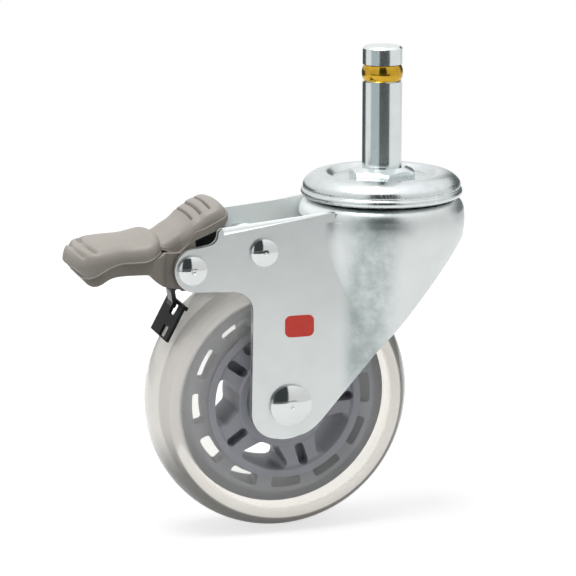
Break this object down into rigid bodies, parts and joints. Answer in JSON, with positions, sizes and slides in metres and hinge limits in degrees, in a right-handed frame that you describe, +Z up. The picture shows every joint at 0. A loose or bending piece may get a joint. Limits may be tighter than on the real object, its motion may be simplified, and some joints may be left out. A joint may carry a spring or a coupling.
{
  "type": "chair caster wheel",
  "caption": "Swivel chair caster with a plug-in stem, pressed steel fork, clear-tyred wheel on ball bearings and a foot brake pedal.",
  "frame": {"origin": "on the swivel axis at the stem's shoulder, where the straight stem leaves its hexagonal foot", "axes": "+Z up along the stem, -X towards the trailing wheel and the pedal, Y along the wheel's axle"},
  "size_m": [0.1134, 0.0462, 0.1337],
  "materials": {
    "zinc_turned": "bright zinc plate on turned steel",
    "zinc_pressed": "bright zinc plate, pressed",
    "zinc_sheet": "satin bluish zinc plate on sheet steel",
    "rivet_zinc": "bright, domed",
    "ball_steel": "ground and polished",
    "brass_ring": "yellow passivated spring steel",
    "hub_plastic": "moulded grey nylon",
    "cage_plastic": "moulded",
    "tyre_pu": "clear cast polyurethane",
    "pedal_light": "taupe, fine grain",
    "pedal_dark": "taupe, fine grain, darker",
    "shoe_black": "black coated steel",
    "label_red": "plain printed label"
  },
  "bodies": {
    "stem_unit": {"stem": "zinc_turned", "grip_ring": "brass_ring", "raceway_cap": "zinc_pressed", "lower_race_cup": "zinc_pressed"},
    "upper_ball_row": {"upper_balls": "ball_steel"},
    "lower_ball_row": {"lower_balls": "ball_steel"},
    "fork_unit": {"fork": "zinc_sheet", "side_label": "label_red", "axle_rivet": "rivet_zinc", "lever_rivet": "rivet_zinc", "blade_rivet": "rivet_zinc", "blade_bush": "zinc_turned", "bearing_sleeve": "zinc_turned", "side_spacer_near": "zinc_turned", "side_spacer_far": "zinc_turned", "inner_ring_near": "ball_steel", "inner_ring_far": "ball_steel"},
    "wheel": {"wheel_hub": "hub_plastic", "tyre": "tyre_pu", "outer_ring_near": "ball_steel", "outer_ring_far": "ball_steel", "shields_near": "ball_steel", "shields_far": "ball_steel"},
    "ball_train_near": {"bearing_balls_near": "ball_steel", "cage_near": "cage_plastic"},
    "ball_train_far": {"bearing_balls_far": "ball_steel", "cage_far": "cage_plastic"},
    "pedal": {"pedal_cover": "pedal_light", "pedal_body": "pedal_dark"},
    "brake": {"brake_blade": "zinc_sheet", "brake_shoe": "shoe_black"}
  },
  "joints": [
    {"name": "swivel", "type": "hinge", "parent": "stem_unit", "child": "fork_unit", "pos_m": [0, 0, -0.006], "axis": [0, 0, 1], "continuous": true},
    {"name": "upper_row_spin", "type": "hinge", "parent": "stem_unit", "child": "upper_ball_row", "pos_m": [0, 0, -0.00591], "axis": [0, 0, 1], "continuous": true},
    {"name": "lower_row_spin", "type": "hinge", "parent": "stem_unit", "child": "lower_ball_row", "pos_m": [0, 0, -0.01223], "axis": [0, 0, 1], "continuous": true},
    {"name": "wheel_spin", "type": "hinge", "parent": "fork_unit", "child": "wheel", "pos_m": [-0.0308, 0, -0.0628], "axis": [0, 1, 0], "continuous": true},
    {"name": "near_train_spin", "type": "hinge", "parent": "fork_unit", "child": "ball_train_near", "pos_m": [-0.0308, 0, -0.0628], "axis": [0, 1, 0], "continuous": true},
    {"name": "far_train_spin", "type": "hinge", "parent": "fork_unit", "child": "ball_train_far", "pos_m": [-0.0308, 0, -0.0628], "axis": [0, 1, 0], "continuous": true},
    {"name": "pedal_tilt", "type": "hinge", "parent": "fork_unit", "child": "pedal", "pos_m": [-0.0584, 0, -0.0231], "axis": [0, 1, 0], "range_deg": [0, 24]},
    {"name": "brake_lift", "type": "hinge", "parent": "fork_unit", "child": "brake", "pos_m": [-0.0383, 0, -0.0194], "axis": [0, 1, 0], "range_deg": [0, 2.1]}
  ],
  "couplings": [
    {"joint": "upper_row_spin", "follows": "swivel", "ratio": 0.5},
    {"joint": "lower_row_spin", "follows": "swivel", "ratio": 0.5},
    {"joint": "near_train_spin", "follows": "wheel_spin", "ratio": 0.632},
    {"joint": "far_train_spin", "follows": "wheel_spin", "ratio": 0.632},
    {"joint": "brake_lift", "follows": "pedal_tilt", "ratio": 0.085}
  ]
}
